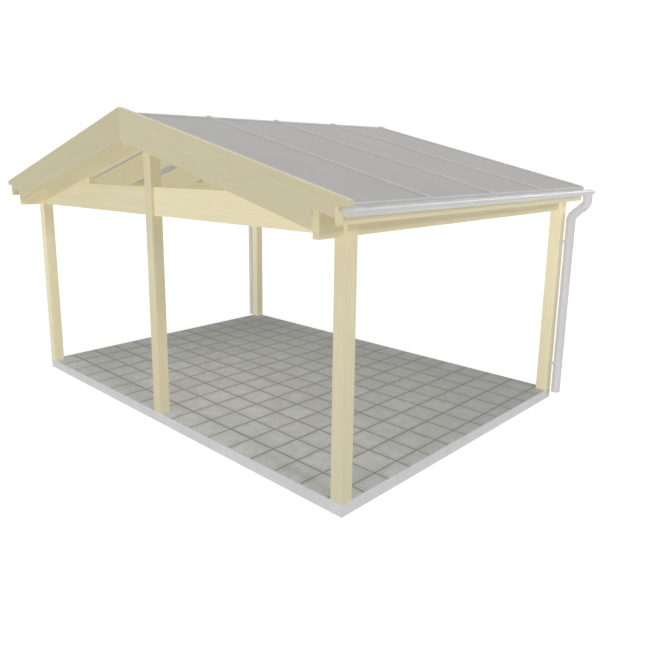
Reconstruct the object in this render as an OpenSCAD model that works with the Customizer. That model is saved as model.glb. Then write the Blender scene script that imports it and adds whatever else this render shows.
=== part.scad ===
// Sunroom frame: a gabled post-and-beam shelter of painted glulam on a paved slab, with a
// translucent panel roof, eave gutters and downpipes. Open on all sides, no moving parts.
// Millimetres. X runs across the front gable, Y runs back from it, Z is up.
// The origin is the centre of the underside of the slab.

/* [Slab and floor] */
// Width of the slab across the front gable, over the outer faces of the posts
slab_w = 4950; // [4050:10:6150]
// Depth of the slab from front to back
slab_d = 3575; // [2950:5:4300]
// Total height of the slab with its paving
slab_t = 100; // [80:10:150]
// Thickness of the paving let into the slab
tile_t = 20; // [15:1:40]
// Width of the slab rim around the paving
rim_w = 10; // [8:1:25]

/* [Timber frame] */
// Side of the square posts
post_s = 113; // [100:0.5:140]
// Clear height from the paving to the underside of the beams
clear_h = 2000; // [1900:10:2400]
// Thickness of the tie beams, the ridge beam and the rafters
beam_t = 66; // [50:0.5:80]
// Thickness of the eave beams, which sit in the forked heads of the posts
eave_t = 57; // [45:0.5:70]
// Depth of the tie beams across the gables
tie_h = 269; // [220:1:325]
// Depth of the eave beams
eave_h = 195; // [180:1:210]
// How far the tie beams stand back from the post faces
tie_setback = 30; // [20:1:32]
// Length of the wedges in the outer corners of the gable openings
wedge_l = 292; // [200:1:400]

/* [Roof] */
// Roof pitch in degrees
pitch = 14.7; // [12:0.1:18]
// Height of the rafter tops above the eave beams, at the outer face of the beams
heel_h = 78; // [65:1:90]
// Depth of the rafters, square to the slope
rafter_h = 243; // [200:1:255]
// Depth of the rafter tails outside the eave beams, square to the slope
tail_h = 100; // [85:1:120]
// Thickness of the bargeboards
barge_t = 45; // [34:0.5:56]
// Depth of the bargeboards, square to the slope
barge_h = 283; // [240:1:330]
// Depth of the bargeboard tails, square to the slope
barge_tail_h = 143; // [142:1:160]
// How far the bargeboards stand above the rafter tops, square to the slope
barge_rise = 64; // [50:1:80]
// Thickness of the verge flashings over the bargeboards
verge_t = 2; // [1:0.5:4]
// Distance from the front post faces to the front of the bargeboards
front_overhang = 268; // [200:1:330]
// How far the ends of the eave beams stand back from the front of the bargeboards
eave_end_back = 17; // [5:1:30]
// Thickness of the roof panels
panel_t = 16; // [10:1:25]
// Distance from the post faces to the lower edge of the panels
panel_overhang = 162; // [155:1:180]
// Width of the glazing bars
bar_w = 60; // [40:1:80]
// Height of the glazing bars above the panels
bar_cap_h = 16; // [12:1:26]
// Height of the ridge cap above the panels
ridge_cap_h = 13; // [5:1:15]

/* [Eaves and rainwater goods] */
// Distance from the post faces to the inside of the fascia boards
fascia_out = 125; // [100:1:128]
// Thickness of the fascia boards
fascia_t = 22; // [18:0.5:25]
// Height of the fascia boards
fascia_h = 120; // [100:1:145]
// Outer width of the gutters
gutter_w = 90; // [75:1:110]
// Depth of the gutters
gutter_h = 56; // [45:1:68]
// How far the gutter lips lie below the edge of the panels
lip_drop = 8; // [4:1:15]
// How far the gutters stand back from the front of the bargeboards
gutter_front_back = 8; // [5:1:60]
// How far the gutters run past the back of the slab
gutter_past = 125; // [110:1:150]
// Wall of the gutters and downpipes
metal_t = 3; // [2:0.5:4]
// Outer diameter of the downpipes
pipe_d = 90; // [75:1:108]
// Gap between the post faces and the downpipes
pipe_gap = 40; // [30:1:50]
// How far the gutter outlets lie past the back of the slab
outlet_past = 50; // [40:1:60]
// Height of the lower end of the downpipes above the ground
pipe_foot = 100; // [40:1:200]

/* [Hidden] */

paint = [0.88, 0.84, 0.68];
sheet_grey = [0.70, 0.70, 0.69];
metal_white = [0.82, 0.82, 0.82];
slab_grey = [0.79, 0.79, 0.78];
tile_grey = [0.62, 0.62, 0.58];

// plan positions
seat_gap = 0.3;
half_post = post_s / 2;
x_out = slab_w / 2;
x_in = x_out - post_s;
plate_in = x_out - half_post - eave_t / 2;
plate_x = plate_in + eave_t;
ridge_half = beam_t / 2;
y_front = -slab_d / 2;
y_back = slab_d / 2;
tie_y = y_front + tie_setback;
rear_tie_y = y_back - tie_setback - beam_t;
barge_y = y_front - front_overhang;
barge_back = barge_y + barge_t;

// slopes: a depth square to the slope takes up depth * plumb on a vertical line
fall = tan(pitch);
plumb = 1 / cos(pitch);

// heights above the ground, those of the sloping lines at the ridge
z_floor = slab_t;
z_seat = z_floor + clear_h;
z_plate_top = z_seat + eave_h;
z_tie_top = z_seat + tie_h;
z_ridge = z_plate_top + heel_h + plate_x * fall;
z_under = z_ridge - rafter_h * plumb;
z_tail = z_ridge - tail_h * plumb;
z_barge = z_ridge + barge_rise * plumb;
z_barge_under = z_barge - barge_h * plumb;
z_barge_tail = z_barge - barge_tail_h * plumb;
z_panel_top = z_ridge + panel_t * plumb;
z_bar_top = z_panel_top + bar_cap_h * plumb;

// x where the underside of the rafters meets the top of the tie beams
tie_shoulder = (z_under - z_tie_top) / fall;
gable_open_x = tie_shoulder - wedge_l;

// eaves
fascia_in = x_out + fascia_out;
fascia_face = fascia_in + fascia_t;
panel_edge = x_out + panel_overhang;
panel_nose = panel_edge + panel_t * sin(pitch);
z_fascia_top = line_z(z_ridge, fascia_face) - seat_gap;
gutter_back = fascia_face + seat_gap;
gutter_x = gutter_back + gutter_w / 2;
barge_past = 1;
barge_end = gutter_back + gutter_w + barge_past;
barge_tip = barge_end - (line_z(z_barge, barge_end) - z_fascia_top) * fall;
bottom_ratio = 0.55;
gutter_r = gutter_w * bottom_ratio;
z_lip = line_z(z_ridge, panel_edge) - lip_drop;
gutter_start = barge_y + gutter_front_back;
gutter_end = y_back + gutter_past;

// downpipes: each swings in from its outlet to the middle of the post beside it
pipe_r = pipe_d / 2;
pipe_x = x_out + pipe_gap + pipe_r;
pipe_y = y_back - half_post;
outlet_y = y_back + outlet_past;
swing_x = gutter_x - pipe_x;
swing_y = outlet_y - pipe_y;
swing = norm([swing_x, swing_y]);
swing_turn = atan2(swing_y, swing_x);
pipe_top = z_lip - gutter_h - seat_gap;
outlet_drop = 58;
outlet_rise = 14;
bend_top = pipe_top - outlet_drop;
bend_ratio = 0.8;
bend_r = pipe_d * bend_ratio;
bend_a = 50;
swing_length = (swing - 2 * bend_r * (1 - cos(bend_a))) / sin(bend_a);
bend_low = bend_top - 2 * bend_r * sin(bend_a) - swing_length * cos(bend_a);
clip_h = 30;
clip_arm = 14;
clip_plate = 50;
clip_low = pipe_foot + 300;
clip_high = bend_low - 250;

// glazing bars: the first lies behind the bargeboards, the last at the back of the roof, and the
// others divide the roof evenly between them, over the rafters
BARS = 5;
roof_front = barge_back + seat_gap;
roof_back = y_back;
bar_pitch = (roof_back - roof_front - bar_w) / (BARS - 1);
function bar_y(i) = roof_front + bar_w / 2 + i * bar_pitch;
panel_gap = 4;
panel_start = 6;
cap_half = 45;

// height of a sloping line that starts from z0 at the ridge
function line_z(z0, x) = z0 - x * fall;

// an upright outline in X and Z, from depth y0 to y1
module slice(y0, y1, points) {
    translate([0, y1, 0]) rotate([90, 0, 0]) linear_extrude(y1 - y0) polygon(points);
}

// the left side is the mirror image of the right
module on_side(side) {
    if (side == "left") mirror([1, 0, 0]) children();
    else children();
}

module box(from, to) {
    translate(from) cube(to - from);
}

// ---------------------------------------------------------------- slab

module slab() {
    color(slab_grey) difference() {
        box([-x_out, y_front, 0], [x_out, y_back, slab_t]);
        box([rim_w - x_out, y_front + rim_w, slab_t - tile_t],
            [x_out - rim_w, y_back - rim_w, slab_t + 1]);
    }
}

module floor_tiles() {
    color(tile_grey)
        box([rim_w - x_out, y_front + rim_w, slab_t - tile_t], [x_out - rim_w, y_back - rim_w, slab_t]);
}

// ---------------------------------------------------------------- posts

// A corner post has a forked head: the eave beam drops in between its inner and outer cheeks.
module corner_post(side, y0) {
    color(paint) on_side(side) slice(y0, y0 + post_s, [
        [x_in, z_floor],
        [x_out, z_floor],
        [x_out, line_z(z_tail, x_out)],
        [plate_x, line_z(z_tail, plate_x)],
        [plate_x, z_seat],
        [plate_in, z_seat],
        [plate_in, line_z(z_under, plate_in)],
        [x_in, line_z(z_under, x_in)]
    ]);
}

// The head of a centre post: flat under the ridge beam, then cut to the slope of the rafters.
module under_ridge_post(y0, y1, foot) {
    color(paint) slice(y0, y1, [
        [-half_post, foot],
        [half_post, foot],
        [half_post, line_z(z_under, half_post)],
        [ridge_half, line_z(z_under, ridge_half)],
        [-ridge_half, line_z(z_under, ridge_half)],
        [-half_post, line_z(z_under, half_post)]
    ]);
}

module front_centre_post() {
    under_ridge_post(y_front, y_front + post_s, z_floor);
}

module rear_king_post() {
    under_ridge_post(rear_tie_y, rear_tie_y + beam_t, z_tie_top);
}

// ---------------------------------------------------------------- beams

module eave_beam(side) {
    color(paint) on_side(side)
        box([plate_in, barge_y + eave_end_back, z_seat], [plate_x, y_back, z_plate_top]);
}

// A tie beam is a level beam from x0 to x1 with its ends cut to the underside of the rafters.
module tie_beam(y0, x0, x1) {
    color(paint) intersection() {
        box([x0, y0, z_seat], [x1, y0 + beam_t, z_tie_top]);
        slice(y0 - 1, y0 + beam_t + 1, [
            [-x_out, z_floor],
            [x_out, z_floor],
            [x_out, line_z(z_under, x_out)],
            [0, z_under],
            [-x_out, line_z(z_under, x_out)]
        ]);
    }
}

module front_tie_beam(side) {
    on_side(side) tie_beam(tie_y, half_post, x_in);
}

module rear_tie_beam() {
    tie_beam(rear_tie_y, -x_in, x_in);
}

// The wedge closes the sharp corner of the gable opening.
module gable_wedge(side) {
    color(paint) on_side(side) slice(tie_y, tie_y + beam_t, [
        [gable_open_x, z_tie_top],
        [tie_shoulder, z_tie_top],
        [gable_open_x, line_z(z_under, gable_open_x)]
    ]);
}

module ridge_beam() {
    top = line_z(z_ridge, ridge_half);
    low = line_z(z_under, ridge_half);
    color(paint) slice(barge_back, y_back, [
        [-ridge_half, low],
        [ridge_half, low],
        [ridge_half, top],
        [0, z_ridge],
        [-ridge_half, top]
    ]);
}

// ---------------------------------------------------------------- rafters

// A rafter butts on the ridge beam, sits over the eave beam and ends in a slim tail at the fascia.
module rafter(side, y_mid) {
    color(paint) on_side(side) slice(y_mid - beam_t / 2, y_mid + beam_t / 2, [
        [ridge_half, line_z(z_ridge, ridge_half)],
        [ridge_half, line_z(z_under, ridge_half)],
        [plate_in, line_z(z_under, plate_in)],
        [plate_in, z_plate_top],
        [plate_x, z_plate_top],
        [plate_x, line_z(z_tail, plate_x)],
        [fascia_in, line_z(z_tail, fascia_in)],
        [fascia_in, line_z(z_ridge, fascia_in)]
    ]);
}

// The bargeboards meet at the ridge, saddle the ends of the eave beams and rest on the fascia
// boards; their tips stand a little past the gutters and are cut square to the slope.
module bargeboard(side) {
    color(paint) on_side(side) slice(barge_y, barge_back, [
        [0, z_barge],
        [0, z_barge_under],
        [plate_in, line_z(z_barge_under, plate_in)],
        [plate_in, z_plate_top],
        [plate_x, z_plate_top],
        [plate_x, line_z(z_barge_tail, plate_x)],
        [fascia_in, line_z(z_barge_tail, fascia_in)],
        [fascia_in, z_fascia_top],
        [barge_tip, z_fascia_top],
        [barge_end, line_z(z_barge, barge_end)]
    ]);
}

module fascia(side) {
    color(paint) on_side(side)
        box([fascia_in, barge_y, z_fascia_top - fascia_h], [fascia_face, y_back, z_fascia_top]);
}

// ---------------------------------------------------------------- roof

// Panel number i lies between bar i and bar i + 1; the end panels reach the ends of the roof.
module roof_panel(side, i) {
    y0 = i == 0 ? roof_front : bar_y(i) + panel_gap / 2;
    y1 = i == BARS - 2 ? roof_back : bar_y(i + 1) - panel_gap / 2;
    color(sheet_grey) on_side(side) slice(y0, y1, [
        [panel_start, line_z(z_ridge, panel_start)],
        [panel_edge, line_z(z_ridge, panel_edge)],
        [panel_nose, line_z(z_ridge, panel_edge) + panel_t * cos(pitch)],
        [panel_start + panel_t * sin(pitch), line_z(z_ridge, panel_start) + panel_t * cos(pitch)]
    ]);
}

module glazing_bars(side) {
    color(sheet_grey) on_side(side) {
        for (i = [0 : BARS - 1])
            slice(bar_y(i) - bar_w / 2, bar_y(i) + bar_w / 2, [
                [0, z_panel_top],
                [panel_edge, line_z(z_panel_top, panel_edge)],
                [panel_edge, line_z(z_bar_top, panel_edge)],
                [0, z_bar_top]
            ]);
        verge_flashing();
    }
}

// A sheet that stands on the first bar behind the bargeboard, folds over the board and turns down
// its square end.
module verge_flashing() {
    z_foot = z_bar_top + seat_gap;
    z_flash = z_barge + verge_t * plumb;
    flash_end = barge_end + verge_t * (cos(pitch) + sin(pitch));
    slice(roof_front, roof_front + verge_t, [
        [0, z_foot],
        [panel_edge, line_z(z_foot, panel_edge)],
        [panel_edge, line_z(z_flash, panel_edge)],
        [0, z_flash]
    ]);
    slice(barge_y, roof_front + verge_t, [
        [0, z_barge],
        [barge_end, line_z(z_barge, barge_end)],
        [barge_tip, z_fascia_top],
        [barge_tip + verge_t * plumb, z_fascia_top],
        [flash_end, line_z(z_flash, flash_end)],
        [0, z_flash]
    ]);
}

// The ridge is capped between one pair of glazing bars and the next.
module ridge_cap() {
    z_cap = z_panel_top + ridge_cap_h * plumb;
    color(sheet_grey) for (i = [0 : BARS - 2])
        slice(bar_y(i) + bar_w / 2, bar_y(i + 1) - bar_w / 2, [
            [-cap_half, line_z(z_panel_top, cap_half)],
            [0, z_panel_top],
            [cap_half, line_z(z_panel_top, cap_half)],
            [cap_half, line_z(z_cap, cap_half)],
            [0, z_cap],
            [-cap_half, line_z(z_cap, cap_half)]
        ]);
}

// ---------------------------------------------------------------- rainwater goods

// Outline of a gutter trough, lip at z = 0: straight walls down to a rounded bottom.
module trough(w, depth, r, over) {
    difference() {
        translate([-w / 2, -depth]) square([w, depth + over]);
        difference() {
            translate([-w, -2 * depth]) square([2 * w, depth + r]);
            translate([0, r - depth]) circle(r, $fn = 96);
        }
    }
}

module gutter_run(y0, y1) {
    translate([gutter_x, y1, z_lip]) rotate([90, 0, 0]) linear_extrude(y1 - y0) children();
}

module gutter(side) {
    color(metal_white) on_side(side) difference() {
        gutter_run(gutter_start, gutter_end) trough(gutter_w, gutter_h, gutter_r, 0);
        gutter_run(gutter_start + metal_t, gutter_end - metal_t)
            trough(gutter_w - 2 * metal_t, gutter_h - metal_t, gutter_r - metal_t, 1);
    }
}

// A length of pipe wall standing on z = 0.
module pipe(length) {
    linear_extrude(length) pipe_ring();
}

module pipe_ring() {
    difference() {
        circle(pipe_r, $fn = 64);
        circle(pipe_r - metal_t, $fn = 64);
    }
}

// A pipe bend round the Y axis, from angle a0 through the bend angle.
module pipe_bend(a0) {
    rotate([90, 0, 0]) rotate([0, 0, a0]) rotate_extrude(angle = bend_a, $fn = 96)
        translate([bend_r, 0]) pipe_ring();
}

// A clip holds the pipe off the post: a ring round the pipe on an arm and a plate.
module pipe_clip(z) {
    clip_r = pipe_r + seat_gap;
    translate([pipe_x, pipe_y, z]) linear_extrude(clip_h) difference() {
        union() {
            circle(clip_r + metal_t, $fn = 64);
            translate([x_out - pipe_x, -clip_arm / 2]) square([pipe_x - x_out - clip_r, clip_arm]);
            translate([x_out - pipe_x, -clip_plate / 2]) square([metal_t, clip_plate]);
        }
        circle(clip_r, $fn = 64);
    }
}

// The head of the downpipe is cut to the rounded bottom of the gutter that nests in it.
module pipe_head() {
    difference() {
        translate([gutter_x, outlet_y, bend_top + seat_gap])
            pipe(pipe_top + outlet_rise - bend_top - seat_gap);
        gutter_run(gutter_start, gutter_end)
            trough(gutter_w + 2 * seat_gap, gutter_h + seat_gap, gutter_r + seat_gap, 0);
    }
}

// The downpipe drops from the gutter, swings in to the post and runs down beside it.
module downpipe(side) {
    color(metal_white) on_side(side) {
        pipe_head();
        translate([pipe_x, pipe_y, 0]) rotate([0, 0, swing_turn]) {
            translate([swing - bend_r, 0, bend_top]) pipe_bend(-bend_a);
            translate([bend_r * (1 - cos(bend_a)), 0, bend_low + bend_r * sin(bend_a)])
                rotate([0, bend_a, 0]) translate([0, 0, seat_gap]) pipe(swing_length - 2 * seat_gap);
            translate([bend_r, 0, bend_low]) pipe_bend(180 - bend_a);
        }
        translate([pipe_x, pipe_y, pipe_foot]) pipe(bend_low - seat_gap - pipe_foot);
        pipe_clip(clip_low);
        pipe_clip(clip_high);
    }
}

// ---------------------------------------------------------------- nodes

slab();
floor_tiles();
corner_post("left", y_front);  // front_left_post
corner_post("right", y_front);  // front_right_post
front_centre_post();
corner_post("left", y_back - post_s);  // rear_left_post
corner_post("right", y_back - post_s);  // rear_right_post
eave_beam("left");  // left_eave_beam
eave_beam("right");  // right_eave_beam
front_tie_beam("left");  // front_left_tie_beam
front_tie_beam("right");  // front_right_tie_beam
rear_tie_beam();
rear_king_post();
gable_wedge("left");  // left_gable_wedge
gable_wedge("right");  // right_gable_wedge
ridge_beam();
rafter("left", tie_y + beam_t / 2);  // left_front_rafter
rafter("right", tie_y + beam_t / 2);  // right_front_rafter
rafter("left", bar_y(1));  // left_second_rafter
rafter("right", bar_y(1));  // right_second_rafter
rafter("left", bar_y(2));  // left_third_rafter
rafter("right", bar_y(2));  // right_third_rafter
rafter("left", bar_y(3));  // left_fourth_rafter
rafter("right", bar_y(3));  // right_fourth_rafter
rafter("left", rear_tie_y + beam_t / 2);  // left_rear_rafter
rafter("right", rear_tie_y + beam_t / 2);  // right_rear_rafter
bargeboard("left");  // left_bargeboard
bargeboard("right");  // right_bargeboard
fascia("left");  // left_fascia
fascia("right");  // right_fascia
roof_panel("left", 0);  // left_front_panel
roof_panel("right", 0);  // right_front_panel
roof_panel("left", 1);  // left_second_panel
roof_panel("right", 1);  // right_second_panel
roof_panel("left", 2);  // left_third_panel
roof_panel("right", 2);  // right_third_panel
roof_panel("left", 3);  // left_rear_panel
roof_panel("right", 3);  // right_rear_panel
glazing_bars("left");  // left_glazing_bars
glazing_bars("right");  // right_glazing_bars
ridge_cap();
gutter("left");  // left_gutter
gutter("right");  // right_gutter
downpipe("left");  // left_downpipe
downpipe("right");  // right_downpipe
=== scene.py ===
import math
import random
import bpy
import bmesh
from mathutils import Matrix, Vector


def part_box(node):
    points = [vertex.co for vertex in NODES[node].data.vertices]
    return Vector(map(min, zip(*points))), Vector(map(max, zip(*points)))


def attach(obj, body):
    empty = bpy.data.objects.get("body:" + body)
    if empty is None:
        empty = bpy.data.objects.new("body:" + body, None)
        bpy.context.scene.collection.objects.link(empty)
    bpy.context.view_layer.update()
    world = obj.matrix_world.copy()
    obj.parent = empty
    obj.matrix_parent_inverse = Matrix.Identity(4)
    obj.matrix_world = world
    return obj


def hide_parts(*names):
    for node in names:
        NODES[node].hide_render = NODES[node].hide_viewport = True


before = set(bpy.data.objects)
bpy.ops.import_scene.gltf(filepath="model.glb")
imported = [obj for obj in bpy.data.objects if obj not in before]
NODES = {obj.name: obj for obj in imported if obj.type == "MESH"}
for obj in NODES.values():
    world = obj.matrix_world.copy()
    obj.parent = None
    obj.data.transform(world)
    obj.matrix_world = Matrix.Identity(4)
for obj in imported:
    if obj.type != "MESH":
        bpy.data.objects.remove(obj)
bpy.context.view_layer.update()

rng = random.Random(11)


# ---------------------------------------------------------------- sizes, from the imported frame

TILE_LO, TILE_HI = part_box("floor_tiles")
BARGE_LO, BARGE_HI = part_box("right_bargeboard")
PANEL_LO, PANEL_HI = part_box("right_front_panel")
_, REAR_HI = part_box("right_rear_panel")
GUT_LO, GUT_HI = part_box("right_gutter")
_, PIPE_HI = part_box("right_downpipe")
_, CAP_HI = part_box("ridge_cap")
POST_LO, POST_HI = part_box("rear_right_post")
_, FASCIA_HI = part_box("right_fascia")

# these repeat part.scad, because no box gives them
SHEET = 0.016           # thickness of the roof sheets
BAR_W = 0.060           # width of a glazing bar
BAR_H = 0.016           # its height over the sheets
BAR_COUNT = 5           # bars on each slope
PIPE_R = 0.045          # radius of the downpipes
CLEAR_H = 2.0           # from the paving to the underside of the beams
SEAT_GAP = 0.0003       # left between faces that would meet

# the front sheet's box holds its length and its thickness, so its pitch is found by trial
RISE = PANEL_HI.z - PANEL_LO.z
REACH = PANEL_HI.x - PANEL_LO.x
PITCH_TRIES = 30
PITCH = math.atan2(RISE, REACH)
for _ in range(PITCH_TRIES):
    PITCH = math.atan2(RISE - SHEET * math.cos(PITCH), REACH - SHEET * math.sin(PITCH))
FALL = math.tan(PITCH)
PLUMB = 1 / math.cos(PITCH)
EDGE = PANEL_HI.x - SHEET * math.sin(PITCH)     # x of the sheets' lower edge, at their underside
Z_RIDGE = PANEL_LO.z + EDGE * FALL              # z of the sheets' underside at the ridge
SIDES = (("right", 1), ("left", -1))


def over_sheet(x, h):
    """Height at x out from the ridge of the plane that lies h over the sheets' underside."""
    return Z_RIDGE - x * FALL + h * PLUMB


def roof(side, x, y, h):
    """The point h square to the slope from its underside at x out from the ridge."""
    z = Z_RIDGE - x * FALL + h * math.cos(PITCH)
    return Vector((side * (x + h * math.sin(PITCH)), y, z))


def square_to_roof(side):
    """The direction that points up square to the slope."""
    return Vector((side * math.sin(PITCH), 0, math.cos(PITCH)))


def spaced(first, length, count):
    """Places in equal steps along a length, with one at each end."""
    return [first + k * length / (count - 1) for k in range(count)]


# ---------------------------------------------------------------- camera

CAMERA_AT = (5.23889, -5.04821, 2.60138)
CAMERA_DOWN = 0.2041        # radians under level
CAMERA_TURN = 0.8025        # radians from facing along +Y
SENSOR_MM = 36.0
LENS_MM = 34.167
FRAME_SHIFT = (0.07077, -0.05947)
FAR_CLIP = 200.0

scene = bpy.context.scene
scene.view_settings.view_transform = "Standard"
cam_data = bpy.data.cameras.new("view_camera")
cam = bpy.data.objects.new("view_camera", cam_data)
scene.collection.objects.link(cam)
scene.camera = cam
cam_data.sensor_width = SENSOR_MM
cam_data.lens = LENS_MM
cam_data.shift_x, cam_data.shift_y = FRAME_SHIFT
cam_data.clip_end = FAR_CLIP
cam.location = CAMERA_AT
cam.rotation_euler = (math.pi / 2 - CAMERA_DOWN, 0.0, CAMERA_TURN)


# ---------------------------------------------------------------- material tools

def srgb(r, g, b):
    """An 8-bit screen colour as the linear colour that a shader takes."""
    def lin(c):
        c /= 255
        return c / 12.92 if c <= 0.04045 else ((c + 0.055) / 1.055) ** 2.4
    return (lin(r), lin(g), lin(b), 1.0)


def off(tone, *by):
    """A tone moved by these 8-bit steps in red, green and blue."""
    return tuple(c + d for c, d in zip(tone, by))


class Tree:
    """A short way to write the node tree of a material or of the world."""

    def __init__(self, owner):
        owner.use_nodes = True
        self.tree = owner.node_tree
        self.tree.nodes.clear()

    def feed(self, socket, value):
        """Links an output to an input, or writes a plain value on the input."""
        if isinstance(value, bpy.types.NodeSocket):
            self.tree.links.new(value, socket)
        else:
            socket.default_value = value

    def node(self, kind, inputs, **settings):
        """A new node with these settings, its inputs fed by name or by number."""
        n = self.tree.nodes.new("ShaderNode" + kind)
        for key, value in settings.items():
            setattr(n, key, value)
        for key, value in inputs.items():
            self.feed(n.inputs[key], value)
        return n

    def math(self, op, a, b=0.0):
        return self.node("Math", {0: a, 1: b}, operation=op).outputs[0]

    def seen_directly(self):
        """1 on camera, glossy and transmission rays, 0 on the rays that carry light."""
        path = self.node("LightPath", {}).outputs
        out = path["Is Camera Ray"]
        for other in ("Is Glossy Ray", "Is Transmission Ray"):
            out = self.math("MAXIMUM", out, path[other])
        return out


class Look(Tree):
    """The node tree of one finish, laid out in the object's own coordinates."""

    def __init__(self, name):
        self.mat = bpy.data.materials.new(name)
        super().__init__(self.mat)
        self.coords = self.node("TexCoord", {}).outputs["Object"]

    def mapped(self, vector=None, scale=(1, 1, 1), turn=(0, 0, 0)):
        vector = self.coords if vector is None else vector
        inputs = {"Vector": vector, "Scale": scale, "Rotation": turn}
        return self.node("Mapping", inputs).outputs[0]

    def split(self, vector):
        return self.node("SeparateXYZ", {0: vector}).outputs

    def noise(self, vector, scale, detail=4.0, rough=0.55, distortion=0.0):
        inputs = {"Vector": vector, "Scale": scale, "Detail": detail, "Roughness": rough,
                  "Distortion": distortion}
        return self.node("TexNoise", inputs).outputs[0]

    def voronoi(self, vector, scale):
        """The distance from the middle of the nearest cell."""
        return self.node("TexVoronoi", {"Vector": vector, "Scale": scale}).outputs["Distance"]

    def chance(self, inputs, dimensions):
        """A random value and a random colour for each value of the inputs."""
        n = self.node("TexWhiteNoise", inputs, noise_dimensions=dimensions)
        return n.outputs["Value"], n.outputs["Color"]

    def moved(self, vector, by, reach):
        """The vector moved by `reach` times `by`, which gives each board a pattern of its own."""
        inputs = {0: by, 1: (reach, reach, reach), 2: vector}
        return self.node("VectorMath", inputs, operation="MULTIPLY_ADD").outputs[0]

    def ramp(self, fac, stops):
        """Colours or levels at places along fac, as (place, colour or level)."""
        n = self.node("ValToRGB", {0: fac})
        while len(n.color_ramp.elements) < len(stops):
            n.color_ramp.elements.new(0.5)
        for e, (place, c) in zip(n.color_ramp.elements, stops):
            e.position = place
            e.color = c if isinstance(c, tuple) else (c, c, c, 1)
        return n.outputs[0]

    def between(self, fac, low, high):
        """From low to high over the middle of a noise's range, where most of it lies."""
        return self.ramp(fac, [(0.3, low), (0.7, high)])

    def mix(self, fac, a, b):
        return self.node("Mix", {0: fac, 6: a, 7: b}, data_type="RGBA").outputs[2]

    def stain(self, base, fac, stops, tone):
        """The base with a tone over it, as strong as the stops along fac say."""
        return self.mix(self.ramp(fac, stops), base, srgb(*tone))

    def blend(self, a, share_a, b, share_b):
        """The sum of two heights, each times its share."""
        return self.math("ADD", self.math("MULTIPLY", a, share_a),
                         self.math("MULTIPLY", b, share_b))

    def finish(self, base, rough, height, depth, strength, specular=0.5, metallic=0.0):
        """The shader, with bumps up to `depth` metres deep."""
        bump = self.node("Bump", {"Height": height, "Distance": depth, "Strength": strength})
        shader = self.node("BsdfPrincipled", {
            "Base Color": base, "Roughness": rough, "Normal": bump.outputs[0],
            "Specular IOR Level": specular, "Metallic": metallic})
        self.node("OutputMaterial", {0: shader.outputs[0]})
        return self.mat


# ---------------------------------------------------------------- materials

# one cream paint in lit and shaded copies, each member in the tone of its light and shade:
# the tones over CREAM are painted light, those under it painted shade
CREAM_MOST_PAINTED_LIGHT = (239, 231, 197)
CREAM_MORE_PAINTED_LIGHT = (228, 220, 187)
CREAM_SOME_PAINTED_LIGHT = (222, 214, 182)
CREAM = (217, 209, 176)
CREAM_SOME_PAINTED_SHADE = (208, 201, 170)
CREAM_MORE_PAINTED_SHADE = (203, 196, 166)
SHADED = (196, 189, 158)

# how deep the boards of the glulam are
TIE_BOARD = 0.0448
EAVE_BOARD = 0.0488
POST_BOARD = 0.0377
SLOPE_BOARD = 0.045
BEAM_FOOT = TILE_HI.z + CLEAR_H
GLUE_W = 0.022              # half of a glue line, as a share of a board
GLUE_TONE = 0.35            # how strongly the line shows through the paint
GLUE_DENT = 0.5
BOARD_TONE = 0.25           # how much the boards differ in tone
FOOT_SHADE_H = 1.5           # the posts take painted shade from here down to their feet
GRAIN_TURN = {"x": (0, 0, 0), "y": (0, 0, math.pi / 2), "z": (0, math.pi / 2, 0)}

# the joints of the paving run at JOINT + k * STEP
JOINT_X, STEP_X = 0.2325, 0.2995
JOINT_Y, STEP_Y = 0.2924, 0.3000
# painted shade on the paving under the roof
PAVING_SHADE = (126, 130, 128)
RIB_STEP = 0.032            # between the webs of the multiwall sheet


def timber(name, along, board=SLOPE_BOARD, foot=0.0, tone=CREAM):
    """Painted glulam: long grain under satin paint, and the glue lines between its boards.

    The grain runs along the axis named, or along a slope of the angle given. The boards are
    `board` deep and are counted from `foot`."""
    m = Look(name)
    v = m.mapped(turn=GRAIN_TURN.get(along, (0, along, 0)))
    depth = m.math("MULTIPLY", m.math("SUBTRACT", m.split(v)[2], foot), 1 / board)
    board_tone, board_shift = m.chance({"W": m.math("FLOOR", depth)}, "1D")
    glue_line = m.math("PINGPONG", depth, 0.5)
    own = m.moved(v, board_shift, reach=3)
    grain = m.noise(m.mapped(own, scale=(0.9, 14, 14)), scale=1.7, detail=5, rough=0.6,
                    distortion=0.8)
    fine = m.noise(m.mapped(own, scale=(4, 120, 120)), scale=1.0, detail=3, rough=0.6)
    knots = m.voronoi(m.mapped(own, scale=(1.2, 9, 9)), scale=1.1)
    patches = m.noise(m.coords, scale=1.3, detail=3)
    base = m.between(grain, srgb(*off(tone, -5, -6, -8)), srgb(*off(tone, 3, 3, 2)))
    base = m.stain(base, patches, [(0.35, 0.0), (0.75, 0.4)], off(tone, 2, -3, -8))
    base = m.mix(m.math("MULTIPLY", board_tone, BOARD_TONE), base, srgb(*off(tone, -7, -8, -9)))
    base = m.stain(base, knots, [(0.02, 0.35), (0.09, 0.0)], off(tone, -16, -20, -28))
    if along == "z":
        # painted shade, darker down towards the post's foot
        height = m.math("SUBTRACT", m.split(m.coords)[2], TILE_HI.z)
        height = m.math("DIVIDE", height, FOOT_SHADE_H)
        foot_shade_stops = [(0.0, 0.55), (0.5, 0.3), (1.0, 0.0)]
        base = m.stain(base, height, foot_shade_stops, off(tone, -30, -30, -27))
    glue = m.ramp(glue_line, [(0.0, 1.0), (GLUE_W, 0.0)])
    base = m.mix(m.math("MULTIPLY", glue, GLUE_TONE), base, srgb(*off(tone, -30, -34, -40)))
    rough = m.ramp(fine, [(0.2, 0.46), (0.8, 0.62)])
    raised = m.blend(grain, 0.55, fine, 0.35)
    raised = m.math("SUBTRACT", raised, m.math("MULTIPLY", glue, GLUE_DENT))
    return m.finish(base, rough, raised, depth=0.0014, strength=0.5, specular=0.3)


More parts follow.
